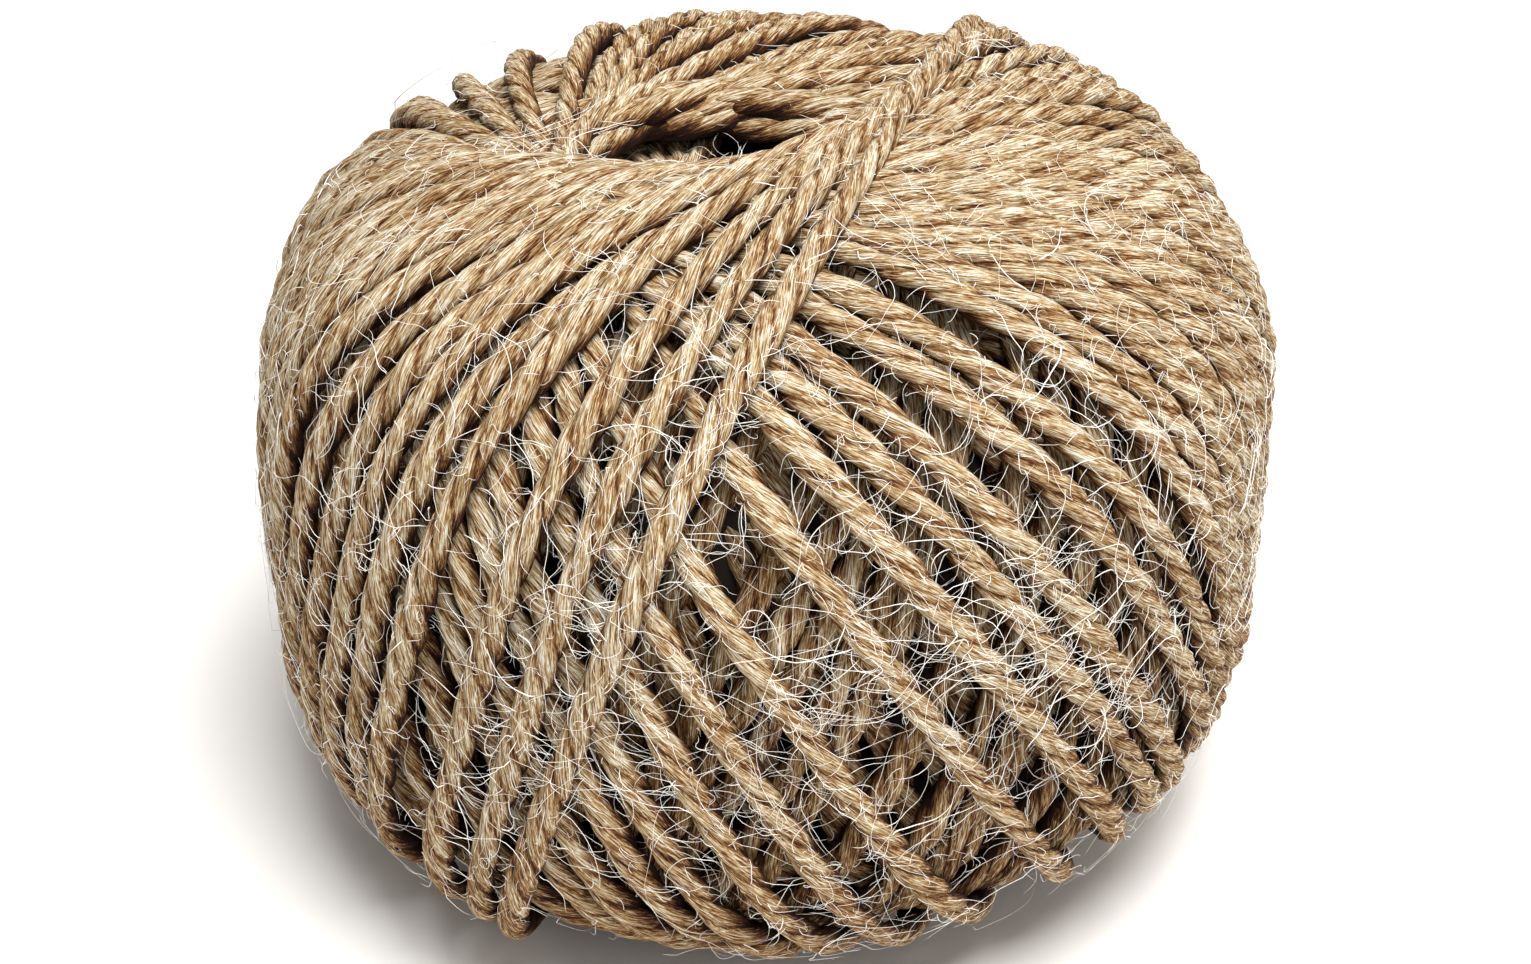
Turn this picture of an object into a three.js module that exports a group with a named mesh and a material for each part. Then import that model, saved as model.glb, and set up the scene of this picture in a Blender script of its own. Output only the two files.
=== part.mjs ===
import * as THREE from "three";

// A ball of jute twine wound in tilted loops round a former that left a hole down its middle.
// Sizes are in mm and angles in degrees. It rests on a flat ring at z = 0.
const BALL_HEIGHT = 70;
const TURNS_ROUND = 60;
const GROOVE_DEPTH = 1.5;
const GROOVE_SHARE = 0.4;
const LOOP_TILT = 21;
const LAST_LOOP_LONGITUDE = 70;
const LAYER_STEP = 1.6;
const STEP_WIDTH = 0.07;
const HOLE_LEAN = { left: 4.5, forward: 4 };
const HOLE_LEAN_REACH = { inside: 15, outside: 30 };
const ROWS_PER_STEP = 2;
const MAX_CROWDING = 0.65;

// Section of the ball from the flat ring at its base, up the outside, over the crest, and back
// down the hole. The relief is how far the grooves between the turns are cut there.
const SECTION = [
  { r: 11.5, z: 0.0, relief: 0.0 },
  { r: 19.0, z: 0.0, relief: 0.0 },
  { r: 26.0, z: 0.0, relief: 0.0 },
  { r: 32.0, z: 2.8, relief: 0.7 },
  { r: 36.6, z: 6.4, relief: 1.0 },
  { r: 40.2, z: 10.8, relief: 1.0 },
  { r: 42.7, z: 16.4, relief: 1.0 },
  { r: 44.2, z: 24.0, relief: 1.0 },
  { r: 44.8, z: 32.0, relief: 1.0 },
  { r: 44.6, z: 40.0, relief: 1.0 },
  { r: 43.7, z: 47.5, relief: 1.0 },
  { r: 41.8, z: 54.0, relief: 1.0 },
  { r: 38.8, z: 59.6, relief: 1.0 },
  { r: 34.6, z: 64.0, relief: 1.0 },
  { r: 29.2, z: 67.2, relief: 1.0 },
  { r: 23.0, z: 69.0, relief: 1.0 },
  { r: 16.5, z: 69.2, relief: 0.9 },
  { r: 11.5, z: 67.8, relief: 0.7 },
  { r: 8.6, z: 63.8, relief: 0.4 },
  { r: 7.4, z: 55.0, relief: 0.3 },
  { r: 7.0, z: 35.0, relief: 0.2 },
  { r: 7.4, z: 14.0, relief: 0.2 },
  { r: 8.6, z: 4.2, relief: 0.1 },
];
const RING_EDGE_ROW = 2;
const CREST_ROW = 15;

const middle = BALL_HEIGHT / 2;
const radians = THREE.MathUtils.degToRad;
const clamp = THREE.MathUtils.clamp;
const lerp = THREE.MathUtils.lerp;

// The section's rows on a smooth closed curve, with none of them under the flat ring.
function sectionRows() {
  const knots = SECTION.map((row) => new THREE.Vector3(row.r, row.z, row.relief));
  const curve = new THREE.CatmullRomCurve3(knots, true, "centripetal");
  const rows = [];
  for (let i = 0; i < SECTION.length * ROWS_PER_STEP; i += 1) {
    const point = curve.getPoint(i / (SECTION.length * ROWS_PER_STEP));
    rows.push({
      r: point.x,
      z: Math.max(point.y, 0),
      relief: clamp(point.z, 0, 1),
      nearHole: i < RING_EDGE_ROW * ROWS_PER_STEP || i > CREST_ROW * ROWS_PER_STEP,
    });
  }
  return rows;
}

// How far round the ball a loop has moved at this row from where it crosses the waist. Every loop
// lies in a plane through the middle of the ball, and near the hole the turns keep side by side.
function loopLead(row) {
  const slope = (Math.tan(radians(LOOP_TILT)) * (row.z - middle)) / row.r;
  if (row.nearHole) {
    const crest = SECTION[CREST_ROW];
    const crestLead = Math.asin((Math.tan(radians(LOOP_TILT)) * (crest.z - middle)) / crest.r);
    return clamp((crestLead * (row.z - middle)) / (crest.z - middle), -crestLead, crestLead);
  }
  return Math.asin(clamp(slope, -1, 1));
}

// The turns lean one way on the left half and the other way on the right half. The change over at
// the front is as quick as it can be without the turns running into each other.
function leanSide(turnAngle, lead) {
  const quickness = Math.max(1.02, MAX_CROWDING / Math.max(Math.abs(lead), 0.01));
  const width = 1 / Math.sqrt(quickness * quickness - 1);
  const sine = Math.sin(turnAngle);
  return (-sine * Math.sqrt(1 + width * width)) / Math.sqrt(sine * sine + width * width);
}

// Each loop is laid a little further round than the one before, over it, so the surface stands
// highest along the last loop and falls away over half a revolution, to a step where it starts.
function layerRise(longitude, lead) {
  const reach = Math.PI / 2 - lead;
  const last = radians(LAST_LOOP_LONGITUDE);
  const ages = [longitude + reach, longitude - reach].map((tangent) => {
    const age = (last - tangent) % (2 * Math.PI);
    return age < 0 ? age + 2 * Math.PI : age;
  });
  const youngest = Math.min(Math.min(...ages) / Math.PI, 1);
  const step = Math.max(youngest - 1 + STEP_WIDTH, 0) / STEP_WIDTH;
  return LAYER_STEP * (0.5 - youngest + step);
}

// Outward direction of the section at a row, across the ball and up.
function rowNormals(rows) {
  return rows.map((row, i) => {
    const before = rows[(i + rows.length - 1) % rows.length];
    const after = rows[(i + 1) % rows.length];
    return new THREE.Vector2(after.z - before.z, before.r - after.r).normalize();
  });
}

function woundBall() {
  const rows = sectionRows();
  const normals = rowNormals(rows);
  const columns = TURNS_ROUND * 2;
  const positions = [];
  rows.forEach((row, i) => {
    const lead = loopLead(row);
    const reach = HOLE_LEAN_REACH.outside - HOLE_LEAN_REACH.inside;
    const near = clamp((HOLE_LEAN_REACH.outside - row.r) / reach, 0, 1);
    const shiftX = -Math.tan(radians(HOLE_LEAN.left)) * (row.z - middle) * near;
    const shiftY = -Math.tan(radians(HOLE_LEAN.forward)) * (row.z - middle) * near;
    const turnLongitude = (column) => {
      const turnAngle = (column / columns) * 2 * Math.PI;
      return turnAngle + lead * leanSide(turnAngle, lead);
    };
    for (let column = 0; column < columns; column += 1) {
      const longitude = turnLongitude(column);
      const turnWidth = row.r * (turnLongitude(column + 1) - turnLongitude(column - 1));
      const groove = column % 2 === 0 ? 0 : -Math.min(GROOVE_DEPTH, GROOVE_SHARE * turnWidth);
      const raise = row.relief * (groove + layerRise(longitude, lead));
      const r = row.r + raise * normals[i].x;
      const z = Math.max(row.z + raise * normals[i].y, 0);
      positions.push(shiftX + r * Math.sin(longitude), shiftY - r * Math.cos(longitude), z);
    }
  });
  const faces = [];
  for (let i = 0; i < rows.length; i += 1) {
    const above = (i + 1) % rows.length;
    for (let column = 0; column < columns; column += 1) {
      const next = (column + 1) % columns;
      const a = i * columns + column;
      const b = i * columns + next;
      const c = above * columns + next;
      const d = above * columns + column;
      faces.push(a, b, c, a, c, d);
    }
  }
  const geometry = new THREE.BufferGeometry();
  geometry.setAttribute("position", new THREE.Float32BufferAttribute(positions, 3));
  geometry.setIndex(faces);
  geometry.computeBoundingBox();
  const box = geometry.boundingBox;
  geometry.translate(-lerp(box.min.x, box.max.x, 0.5), -lerp(box.min.y, box.max.y, 0.5), -box.min.z);
  geometry.computeVertexNormals();
  return geometry;
}

const juteTwine = new THREE.MeshStandardMaterial({ color: 0xc49a60, roughness: 0.95, metalness: 0 });
const ball = new THREE.Mesh(woundBall(), juteTwine);
ball.name = "twine_ball";

const part = new THREE.Group();
part.name = "ball_of_jute_twine";
part.add(ball);

export default part;
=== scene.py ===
import math

import bpy
import numpy as np
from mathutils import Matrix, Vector


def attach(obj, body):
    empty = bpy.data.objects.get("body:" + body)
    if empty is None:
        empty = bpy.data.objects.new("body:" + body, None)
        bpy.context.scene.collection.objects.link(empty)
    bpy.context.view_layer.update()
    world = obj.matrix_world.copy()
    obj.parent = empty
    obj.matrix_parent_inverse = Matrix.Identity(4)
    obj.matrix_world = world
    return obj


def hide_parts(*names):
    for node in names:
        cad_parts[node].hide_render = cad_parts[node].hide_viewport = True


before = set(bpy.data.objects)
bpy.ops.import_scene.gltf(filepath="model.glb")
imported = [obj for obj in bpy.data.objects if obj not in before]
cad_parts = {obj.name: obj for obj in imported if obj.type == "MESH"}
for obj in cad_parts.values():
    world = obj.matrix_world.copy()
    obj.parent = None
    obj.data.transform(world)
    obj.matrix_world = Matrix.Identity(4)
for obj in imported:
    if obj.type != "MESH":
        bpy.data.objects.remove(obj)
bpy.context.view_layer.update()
rng = np.random.default_rng(20)


def linear(hex_colour):
    """sRGB hex to the linear colour a shader takes."""
    values = [int(hex_colour[i : i + 2], 16) / 255 for i in (0, 2, 4)]
    return [v / 12.92 if v <= 0.04045 else ((v + 0.055) / 1.055) ** 2.4 for v in values] + [1.0]


def add(material, kind, settings=None, links=None):
    """One shader node with its settings, and what feeds its inputs."""
    node = material.node_tree.nodes.new(kind)
    for name, value in (settings or {}).items():
        if isinstance(name, int) or name in node.inputs:
            node.inputs[name].default_value = value
        else:
            setattr(node, name, value)
    for name, socket in (links or {}).items():
        material.node_tree.links.new(socket, node.inputs[name])
    return node


def colours(material, rows, factor):
    """A colour ramp from rows of position and colour."""
    ramp = add(material, "ShaderNodeValToRGB", links={"Fac": factor})
    while len(ramp.color_ramp.elements) < len(rows):
        ramp.color_ramp.elements.new(0.5)
    for element, row in zip(ramp.color_ramp.elements, rows):
        element.position = row["at"]
        element.color = linear(row["colour"])
    return ramp.outputs["Color"]


def plain(name, colour, roughness):
    """A material of one colour."""
    material = bpy.data.materials.new(name)
    material.use_nodes = True
    surface = material.node_tree.nodes["Principled BSDF"]
    surface.inputs["Base Color"].default_value = linear(colour)
    surface.inputs["Roughness"].default_value = roughness
    return material


def rise(values, low, high):
    """0 up to the low value, 1 from the high value on, and evenly between."""
    return np.clip((values - low) / (high - low), 0, 1)


def wander(count, spread, reach):
    """Slow random drift along a row of values."""
    rough = rng.normal(size=count + 6 * reach)
    window = np.hanning(2 * reach + 1)
    smooth = np.convolve(rough, window / np.sqrt((window**2).sum()), "same")
    return spread * smooth[3 * reach : 3 * reach + count]


def unit(vectors):
    return vectors / np.linalg.norm(vectors, axis=-1, keepdims=True)


def add_piece(name, points, faces, attributes, material):
    """A smooth mesh from an array of points in mm and a list of faces, as a piece of the object."""
    mesh = bpy.data.meshes.new(name)
    mesh.from_pydata((points * 0.001).tolist(), [], faces)
    mesh.polygons.foreach_set("use_smooth", np.ones(len(faces), dtype=bool))
    for key, values in attributes.items():
        vector = values.ndim == 2
        layer = mesh.attributes.new(key, "FLOAT_VECTOR" if vector else "FLOAT", "POINT")
        layer.data.foreach_set("vector" if vector else "value", values.astype(np.float32).ravel())
    mesh.materials.append(material)
    piece = bpy.data.objects.new(name, mesh)
    bpy.context.collection.objects.link(piece)
    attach(piece, "root")
    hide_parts("twine_ball")


# The path of the twine, in mm and degrees. One length goes round and round the ball in loops that lie in
# tilted planes through its middle, each a little further round than the one before and over it. A loop's
# age is how far round the winding has gone since it was laid.
TWINE = 2.65
BALL = {"radius": 44.4, "half_height": 35.9, "squareness_above": 3.0, "squareness_below": 3.4}
MIDDLE = np.array([0.0, 0.0, 35.0])
LAYERS = [
    {"loops": 34, "ring_step": 2.0},
    {"loops": 29, "ring_step": 1.5},
    {"loops": 31, "ring_step": 1.2},
]
TILTS = [
    {"age": 0, "tilt": 22.0},
    {"age": 6, "tilt": 19.5},
    {"age": 11, "tilt": 17.5},
    {"age": 60, "tilt": 16.5},
    {"age": 95, "tilt": 18.5},
    {"age": 107, "tilt": 25.0},
    {"age": 133, "tilt": 27.0},
    {"age": 150, "tilt": 24.0},
    {"age": 168, "tilt": 21.0},
    {"age": 200, "tilt": 17.0},
    {"age": 265, "tilt": 14.5},
    {"age": 310, "tilt": 28.0},
    {"age": 350, "tilt": 28.0},
    {"age": 390, "tilt": 13.0},
    {"age": 560, "tilt": 12.5},
]
FRONT_LOOPS = [
    {"seen": "right", "at": [-108, -101, -94, -87, -73, -63, -55, -51, -42, -37, -30, -27]},
    {"seen": "left", "at": [12, 18, 25, 32, 37, 42, 48, 59, 64, 70]},
]
UNEVEN = {"place": 1.5, "tilt": 0.6, "height": 0.2, "thickness": 0.07}
EVEN_LAST_LOOPS = 3
SAMPLES = 300


def ball_distance(polar):
    """Distance from the middle to the ball's surface at an angle from straight up."""
    n = np.where(np.cos(polar) > 0, BALL["squareness_above"], BALL["squareness_below"])
    wide = np.abs(np.sin(polar) / BALL["radius"]) ** n
    tall = np.abs(np.cos(polar) / BALL["half_height"]) ** n
    return (wide + tall) ** (-1 / n)


loop_count = sum(layer["loops"] for layer in LAYERS)
top_layer = LAYERS[-1]["loops"]
seen_right, seen_left = (np.array(group["at"]) for group in FRONT_LOOPS)
between_count = top_layer - len(seen_right) - len(seen_left)
between = np.linspace(seen_right[-1], seen_left[0], between_count + 2)[1:-1]
under = np.cumsum(np.concatenate([np.full(layer["loops"], 180 / layer["loops"]) for layer in LAYERS[:-1]]))
under += seen_right[0] - 180 / top_layer - under[-1] + UNEVEN["place"] * rng.normal(size=len(under))
loop_place = np.concatenate([under, seen_right, between, seen_left])
loop_age = loop_place[-1] - loop_place
loop_tilt = np.interp(loop_age, [row["age"] for row in TILTS], [row["tilt"] for row in TILTS])
loop_tilt[:-EVEN_LAST_LOOPS] += UNEVEN["tilt"] * rng.normal(size=loop_count - EVEN_LAST_LOOPS)
loop_middle = np.arange(loop_count) + 0.5
loop = np.arange(loop_count * SAMPLES + 1) / SAMPLES
turn = 2 * np.pi * loop + np.pi
tilt = np.radians(np.interp(loop, loop_middle, loop_tilt))
place = np.radians(np.interp(loop, loop_middle, loop_place))
age = np.degrees(place[-1] - place)
summit = np.stack([np.sin(tilt) * np.sin(place), -np.sin(tilt) * np.cos(place), np.cos(tilt)], 1)
waist = np.stack([np.cos(place), np.sin(place), np.zeros_like(place)], 1)
upright = np.cos(turn)[:, None] * summit + np.sin(turn)[:, None] * waist

# How deep the turns lie. A loop starts and ends under the base, and lies a layer under the later ones that
# cross it, or a little less near the hole. The turns crowd there, and every second one is pressed down
# between those beside it. Past the hole the last loops have nothing beside them and sink.
LAYER_STEP = 2.4
LEVEL_AGE = 90.0
LEAST_CROSSING = 130.0
NEAR_HOLE = math.sin(math.radians(50))
PRESSED = {"depth": 1.5, "from_age": 20}
SINKING = {"until_age": 70, "reach": 270}
from_axis = np.arccos(np.clip(np.abs(upright[:, 2]), 0, 1))
crossing = np.degrees(2 * np.arccos(np.clip(np.tan(tilt) / np.tan(from_axis), 0, 1)))
per_degree = 1 / np.maximum(crossing, LEAST_CROSSING)
depth = LAYER_STEP * (age - LEVEL_AGE) * per_degree
sinking = (1 - rise(age, 0, SINKING["until_age"])) * rise(np.sin(turn), 0, NEAR_HOLE)
depth += LAYER_STEP * SINKING["reach"] * (per_degree - 1 / 180) * sinking
crowd = 1 - rise(np.abs(np.sin(turn)), 0, NEAR_HOLE)
every_second = np.arange(loop_count) % 2 * (loop_age > PRESSED["from_age"])
depth += PRESSED["depth"] * np.interp(loop, loop_middle, every_second) * crowd

# The winding leans to the left and forward, and the hole with it. The lowest turns lie on the table.
AXIS_LEAN = {"left": 4.5, "forward": 4.0}
lean_left, lean_forward = (math.radians(AXIS_LEAN[way]) for way in ("left", "forward"))
leaning = np.stack(
    [
        upright[:, 0] * math.cos(lean_left) - upright[:, 2] * math.sin(lean_left),
        upright[:, 1] * math.cos(lean_forward) - upright[:, 2] * math.sin(lean_forward),
        upright[:, 2] + upright[:, 0] * math.sin(lean_left) + upright[:, 1] * math.sin(lean_forward),
    ],
    1,
)
direction = unit(leaning)
distance = ball_distance(np.arccos(np.clip(direction[:, 2], -1, 1))) - TWINE / 2 - depth
distance += wander(len(distance), UNEVEN["height"], 18)
centre = MIDDLE + direction * distance[:, None]
centre[:, 2] = np.maximum(centre[:, 2], TWINE / 2)

# Jute twine: pale and brown fibres in streaks that run along the plies, with painted shade between the
# plies, at the sides of the twine, in the layers beneath and towards the bottom.
JUTE = [
    {"at": 0.32, "colour": "260F06"},
    {"at": 0.42, "colour": "7C4E26"},
    {"at": 0.50, "colour": "B3986A"},
    {"at": 0.61, "colour": "EAE5D4"},
]
STREAKS_PER_MM = {"across": 8.0, "along": 0.6}
BLOTCHES_PER_MM = {"across": 0.5, "along": 0.08}
BLOTCH_SHARE = 0.2
# Painted shade: a thin dark line along the grooves between the plies, drawn into the colour.
PLY_GROOVE_SHADE = {"sharpness": 2.0, "darkness": 0.11}
jute = bpy.data.materials.new("natural jute, twisted in three plies")
jute.use_nodes = True
jute.node_tree.nodes.clear()
fibre_at = add(jute, "ShaderNodeAttribute", {"attribute_name": "fibre"}).outputs["Vector"]
shade_at = add(jute, "ShaderNodeAttribute", {"attribute_name": "shade"}).outputs["Fac"]
groove_at = add(jute, "ShaderNodeAttribute", {"attribute_name": "groove"}).outputs["Fac"]


def streaked(per_mm, detail):
    """Noise drawn out along the fibres."""
    scale = (per_mm["across"], per_mm["across"], per_mm["along"])
    drawn = add(jute, "ShaderNodeMapping", {"Scale": scale}, {"Vector": fibre_at})
    settings = {"Scale": 1.0, "Detail": detail, "Roughness": 0.7}
    return add(jute, "ShaderNodeTexNoise", settings, {"Vector": drawn.outputs["Vector"]}).outputs["Fac"]


def worked_out(operation, number, links):
    """A sum in the shader, with a fixed number as its second term where one is given."""
    settings = {"operation": operation} if number is None else {"operation": operation, 1: number}
    return add(jute, "ShaderNodeMath", settings, links).outputs["Value"]


streaks = streaked(STREAKS_PER_MM, 3.0)
blotches = streaked(BLOTCHES_PER_MM, 2.0)
mixed = add(jute, "ShaderNodeMix", {"Factor": BLOTCH_SHARE}, {"A": streaks, "B": blotches}).outputs["Result"]
# Painted shade: the shade attribute moves the colour down the ramp towards dark brown.
shaded = worked_out("SUBTRACT", None, {0: mixed, 1: shade_at})
# Painted shade in the ply grooves, sharpened into a thin dark line.
line = worked_out("POWER", PLY_GROOVE_SHADE["sharpness"], {0: groove_at})
groove_shaded = worked_out("MULTIPLY_ADD", -PLY_GROOVE_SHADE["darkness"], {0: line, 2: shaded})
bumps = add(jute, "ShaderNodeBump", {"Strength": 0.8, "Distance": 0.0003}, {"Height": streaks})
jute_surface = add(
    jute,
    "ShaderNodeBsdfPrincipled",
    {"Roughness": 0.8, "Specular IOR Level": 0.2},
    {"Base Color": colours(jute, JUTE, groove_shaded), "Normal": bumps.outputs["Normal"]},
)
add(jute, "ShaderNodeOutputMaterial", links={"Surface": jute_surface.outputs["BSDF"]})

# The turns: a tube along the path with three plies side by side in its section, twisted to the left.
# Where the turns crowd near the hole they are squeezed narrower.
PLY_PITCH = 13.0
FIBRE_TURN = 0.4
PLY = [
    {"at": 0, "share": 0.76},
    {"at": 30, "share": 0.95},
    {"at": 60, "share": 1.00},
    {"at": 90, "share": 0.95},
]
SQUEEZED = 0.7
# Painted shade: the twine's colour is darkened at its sides, where neighbouring turns meet.
SIDE_SHADE = {"strength": 0.25, "from": 0.45}
# Painted shade in the layers under later turns, away from the hole.
BENEATH_SHADE = {"strength": 0.03, "ages": (170, 290), "from_axis": (35, 60)}
# Painted shade towards the bottom of the ball.
LOW_SHADE = {"strength": 0.06, "below": 40.0}
ply_angle = np.radians([120 * ply + row["at"] for ply in range(3) for row in PLY])
ply_share = np.array([row["share"] for ply in range(3) for row in PLY])
corners_round = len(ply_angle)
run = np.concatenate([[0], np.cumsum(np.linalg.norm(np.diff(centre, axis=0), axis=1))])
layer_ends = run[np.cumsum([0] + [layer["loops"] for layer in LAYERS]) * SAMPLES]
layer_marks = [
    np.arange(start, end, layer["ring_step"])
    for start, end, layer in zip(layer_ends, layer_ends[1:], LAYERS)
]
marks = np.concatenate(layer_marks)
mark_age = np.interp(marks, run, age)
mark_from_axis = np.degrees(np.interp(marks, run, from_axis))
width = 1 - (1 - SQUEEZED) * np.interp(marks, run, crowd)
spine = np.stack([np.interp(marks, run, centre[:, axis]) for axis in range(3)], 1)
along = unit(np.gradient(spine, axis=0))
outward = spine - MIDDLE
out = unit(outward - along * (outward * along).sum(1)[:, None])
across = np.cross(along, out)
thick = TWINE / 2 * (1 + wander(len(marks), UNEVEN["thickness"], 6))
twist = -2 * np.pi * marks / PLY_PITCH
turned = ply_angle + twist[:, None]
radius = thick[:, None] * ply_share
rings = (
    spine[:, None, :]
    + out[:, None, :] * (radius * np.cos(turned))[..., None]
    + across[:, None, :] * (radius * width[:, None] * np.sin(turned))[..., None]
)
fibre_angle = ply_angle + FIBRE_TURN * twist[:, None]
fibre_run = np.repeat(marks[:, None], corners_round, 1)
fibre = np.stack([radius * np.cos(fibre_angle), radius * np.sin(fibre_angle), fibre_run], 2)
groove = np.tile(ply_share == ply_share.min(), (len(marks), 1))
# Painted shade on the layers beneath, away from the hole.
beneath = rise(mark_age, *BENEATH_SHADE["ages"]) * rise(mark_from_axis, *BENEATH_SHADE["from_axis"])
# Painted shade, darker towards the bottom.
low_down = 1 - rise(spine[:, 2], 0, LOW_SHADE["below"])
mark_shade = BENEATH_SHADE["strength"] * beneath + LOW_SHADE["strength"] * low_down
# Painted shade at the sides of each turn.
side_shade = SIDE_SHADE["strength"] * np.clip(SIDE_SHADE["from"] - np.cos(turned), 0, 1)
shade = side_shade + mark_shade[:, None]
first = 0
for number, marks_here in enumerate(layer_marks, 1):
    count = len(marks_here)
    part = slice(first, first + count)
    ring, side = np.meshgrid(np.arange(count - 1) * corners_round, np.arange(corners_round), indexing="ij")
    next_ring, next_side = ring + corners_round, (side + 1) % corners_round
    quads = np.stack([ring + side, ring + next_side, next_ring + next_side, next_ring + side], 2)
    start_cap = list(range(corners_round - 1, -1, -1))
    end_cap = list(range((count - 1) * corners_round, count * corners_round))
    faces = quads.reshape(-1, 4).tolist() + [start_cap, end_cap]
    attributes = {
        "fibre": fibre[part].reshape(-1, 3),
        "shade": shade[part].ravel(),
        "groove": groove[part].ravel(),
    }
    add_piece(f"twine_turns_{number}", rings[part].reshape(-1, 3), faces, attributes, jute)
    first += count

# Loose fibres. Jute is hairy: fine pale hairs stand off the twine and curl back to it, most of them at the
# front and round the waist. Each is a three-sided tube that runs to a point at both ends.
HAIRS = [
    {"piece": "short_hairs_1", "count": 3000, "length": 3.0, "rings": 6, "curl": 0.40, "outward": 1},
    {"piece": "short_hairs_2", "count": 3000, "length": 3.0, "rings": 6, "curl": 0.40, "outward": 1},
    {"piece": "long_hairs_1", "count": 1150, "length": 9.0, "rings": 12, "curl": 0.30, "outward": 3},
    {"piece": "long_hairs_2", "count": 1150, "length": 9.0, "rings": 12, "curl": 0.30, "outward": 3},
]
HAIR = {"radius": 0.029, "stand": 0.8, "sink": 0.4, "lowest": 0.3, "lift": 0.6, "stray": 0.6, "bend": 0.5}
HAIR_BY_AGE = [
    {"age": 0, "share": 1.0},
    {"age": 180, "share": 0.7},
    {"age": 400, "share": 0.1},
]
HAIR_HEIGHTS = {"none_below": 5.0, "full_above": 30.0}
TUFT = {"x": 8.0, "width": 20.0}
loose_fibre = plain("loose jute fibre", "FFFCF4", 0.6)
hairiness = rise(spine[:, 2], HAIR_HEIGHTS["none_below"], HAIR_HEIGHTS["full_above"])
hairiness *= 1.3 - spine[:, 2] / 100
hairiness *= np.interp(mark_age, [row["age"] for row in HAIR_BY_AGE], [row["share"] for row in HAIR_BY_AGE])
hairiness *= 1.5 - out[:, 1]
hairiness *= 0.5 + np.exp(-(((spine[:, 0] - TUFT["x"]) / TUFT["width"]) ** 2))


def above_ball(points):
    """How far points lie outside the ball's surface, and which way is out."""
    away = points - MIDDLE
    far = np.linalg.norm(away, axis=1)
    return far - ball_distance(np.arccos(np.clip(away[:, 2] / far, -1, 1))), away / far[:, None]


for kind in HAIRS:
    count = kind["count"]
    chance = hairiness * np.hypot(spine[:, 0], spine[:, 1]) ** kind["outward"]
    root = rng.choice(len(marks), count, p=chance / chance.sum())
    facing = rng.uniform(-1.2, 1.2, count)[:, None]
    stand = out[root] * np.cos(facing) + across[root] * np.sin(facing)
    point = spine[root] + stand * (0.9 * thick[root])[:, None]
    root_height = above_ball(point)[0]
    reach = HAIR["stand"] * rng.uniform(0.1, 1.2, count)
    lie = along[root] * rng.normal(size=(count, 1))
    stray = HAIR["stray"] * rng.normal(size=(count, 3))
    heading = unit(lie + HAIR["lift"] * stand + stray)
    stride = kind["length"] * rng.lognormal(0, 0.4, count)[:, None] / (kind["rings"] + 1)
    bend = unit(rng.normal(size=(count, 3)))
    chain = [point]
    for step in range(kind["rings"] + 1):
        point = point + heading * stride
        height, away = above_ball(point)
        kept_height = np.clip(height, root_height - HAIR["sink"], root_height + reach)
        point -= away * (height - kept_height)[:, None]
        point[:, 2] = np.maximum(point[:, 2], HAIR["lowest"])
        chain.append(point)
        bend = unit(bend + HAIR["bend"] * rng.normal(size=(count, 3)))
        heading = unit(heading + kind["curl"] * bend)
    chain = np.stack(chain, 1)
    tangent = unit(chain[:, 2:] - chain[:, :-2])
    side_a = unit(np.cross(tangent, stand[:, None] + 0.2))
    side_b = np.cross(tangent, side_a)
    hair_radius = HAIR["radius"] * rng.lognormal(0, 0.3, (count, 1, 1))
    taper = hair_radius * np.linspace(1, 0.5, kind["rings"])[:, None]
    corners = [
        chain[:, 1:-1] + taper * (math.cos(angle) * side_a + math.sin(angle) * side_b)
        for angle in np.radians([0, 120, 240])
    ]
    tube = np.stack(corners, 2).reshape(count, -1, 3)
    points = np.concatenate([chain[:, :1], tube, chain[:, -1:]], 1)
    size = points.shape[1]
    pairs = [(0, 1), (1, 2), (2, 0)]
    sides = [
        [3 * ring + 1 + a, 3 * ring + 1 + b, 3 * ring + 4 + b, 3 * ring + 4 + a]
        for ring in range(kind["rings"] - 1)
        for a, b in pairs
    ]
    start_tip = [[0, 1 + b, 1 + a] for a, b in pairs]
    end_tip = [[size - 4 + a, size - 4 + b, size - 1] for a, b in pairs]
    each = size * np.arange(count)[:, None, None]
    side_faces = (np.array(sides) + each).reshape(-1, 4).tolist()
    tip_faces = (np.array(start_tip + end_tip) + each).reshape(-1, 3).tolist()
    add_piece(kind["piece"], points.reshape(-1, 3), side_faces + tip_faces, {}, loose_fibre)

# Inner turns. What lies under the outer layers is only seen as darkness between them and down the
# hole, so it is one plain body with the hole through it.
INNER = [
    {"r": 20.0, "z": 9.0},
    {"r": 30.0, "z": 11.0},
    {"r": 35.0, "z": 18.0},
    {"r": 37.0, "z": 34.0},
    {"r": 35.0, "z": 52.0},
    {"r": 29.0, "z": 59.0},
    {"r": 19.0, "z": 60.0},
    {"r": 10.0, "z": 55.0},
    {"r": 7.5, "z": 47.0},
    {"r": 7.0, "z": 34.0},
    {"r": 7.5, "z": 22.0},
    {"r": 10.0, "z": 13.0},
]
INNER_COLUMNS = 96
inner_jute = plain("jute twine in shadow", "1E120A", 0.95)
inner_row, inner_column = np.meshgrid(np.arange(len(INNER)), np.arange(INNER_COLUMNS), indexing="ij")
inner_angle = inner_column * 2 * np.pi / INNER_COLUMNS
inner_r = np.array([step["r"] for step in INNER])[inner_row]
inner_z = np.array([step["z"] for step in INNER])[inner_row]
inner_x = inner_r * np.sin(inner_angle) - math.tan(lean_left) * (inner_z - MIDDLE[2])
inner_y = -inner_r * np.cos(inner_angle) - math.tan(lean_forward) * (inner_z - MIDDLE[2])
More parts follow.
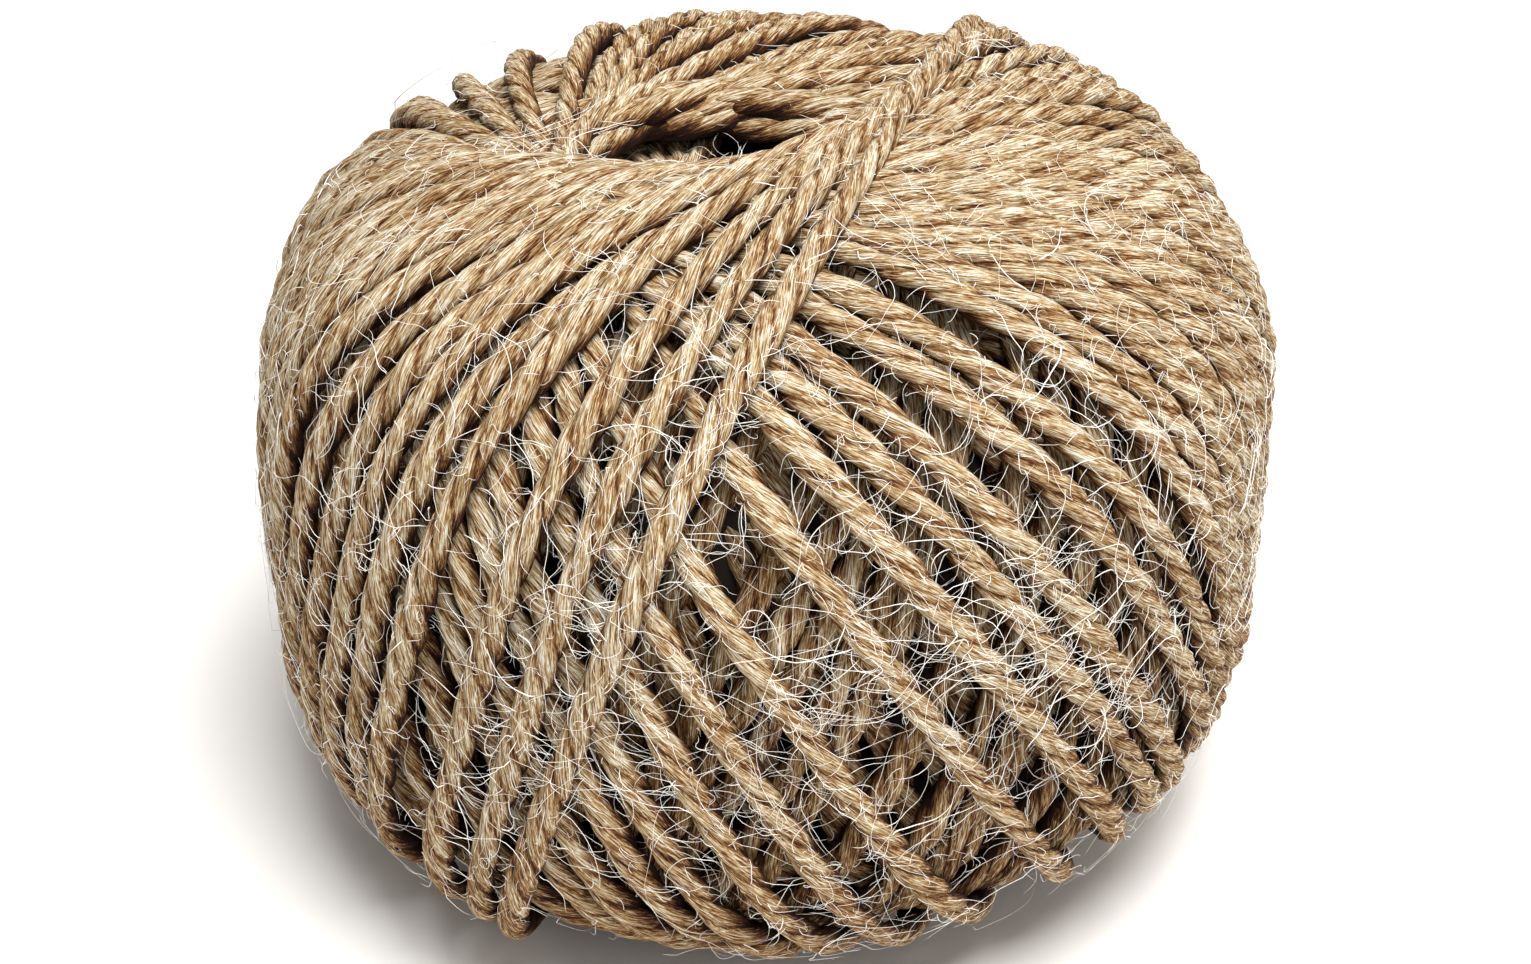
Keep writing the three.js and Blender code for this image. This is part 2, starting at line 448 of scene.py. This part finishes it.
inner_points = np.stack([inner_x, inner_y, inner_z], 2).reshape(-1, 3)
this_row = inner_row * INNER_COLUMNS
row_above = (inner_row + 1) % len(INNER) * INNER_COLUMNS
beside = (inner_column + 1) % INNER_COLUMNS
inner_quads = [this_row + inner_column, this_row + beside, row_above + beside, row_above + inner_column]
inner_faces = np.stack(inner_quads, 2).reshape(-1, 4).tolist()
add_piece("inner_turns", inner_points, inner_faces, {}, inner_jute)

# Pale floor and soft studio light, in metres.
BALL_MIDDLE = Vector((0, 0, 0.035))
LIGHTS = [
    {"name": "top_light", "at": (0.10, -0.22, 0.70), "size": 0.35, "watts": 8.4},
    {"name": "front_light", "at": (0.40, -0.72, 0.45), "size": 0.5, "watts": 1.4},
]
WORLD_STRENGTH = 0.31
bpy.ops.mesh.primitive_plane_add(size=6)
floor = bpy.context.object
floor.name = "floor"
floor.data.materials.append(plain("white paper sweep", "F2F0EC", 0.9))
for light in LIGHTS:
    bpy.ops.object.light_add(type="AREA", location=light["at"])
    lamp = bpy.context.object
    lamp.name = light["name"]
    lamp.data.size = light["size"]
    lamp.data.energy = light["watts"]
    lamp.rotation_euler = (BALL_MIDDLE - lamp.location).to_track_quat("-Z", "Y").to_euler()
world = bpy.data.worlds.new("studio")
world.use_nodes = True
world.node_tree.nodes["Background"].inputs["Color"].default_value = (1, 1, 1, 1)
world.node_tree.nodes["Background"].inputs["Strength"].default_value = WORLD_STRENGTH
bpy.context.scene.world = world
bpy.context.scene.view_settings.view_transform = "Standard"

# Camera, from the photo's outline: 32 degrees above the table and six ball radii away.
ELEVATION = math.radians(32)
DISTANCE = 0.27
LENS = 70.6
PHOTO_PIXELS = {"width": 1531, "shift_down": 28}
camera_data = bpy.data.cameras.new("camera")
camera_data.lens = LENS
camera_data.shift_y = -PHOTO_PIXELS["shift_down"] / PHOTO_PIXELS["width"]
camera = bpy.data.objects.new("camera", camera_data)
bpy.context.collection.objects.link(camera)
camera.location = BALL_MIDDLE + Vector((0, -math.cos(ELEVATION), math.sin(ELEVATION))) * DISTANCE
camera.rotation_euler = (BALL_MIDDLE - camera.location).to_track_quat("-Z", "Y").to_euler()
bpy.context.scene.camera = camera
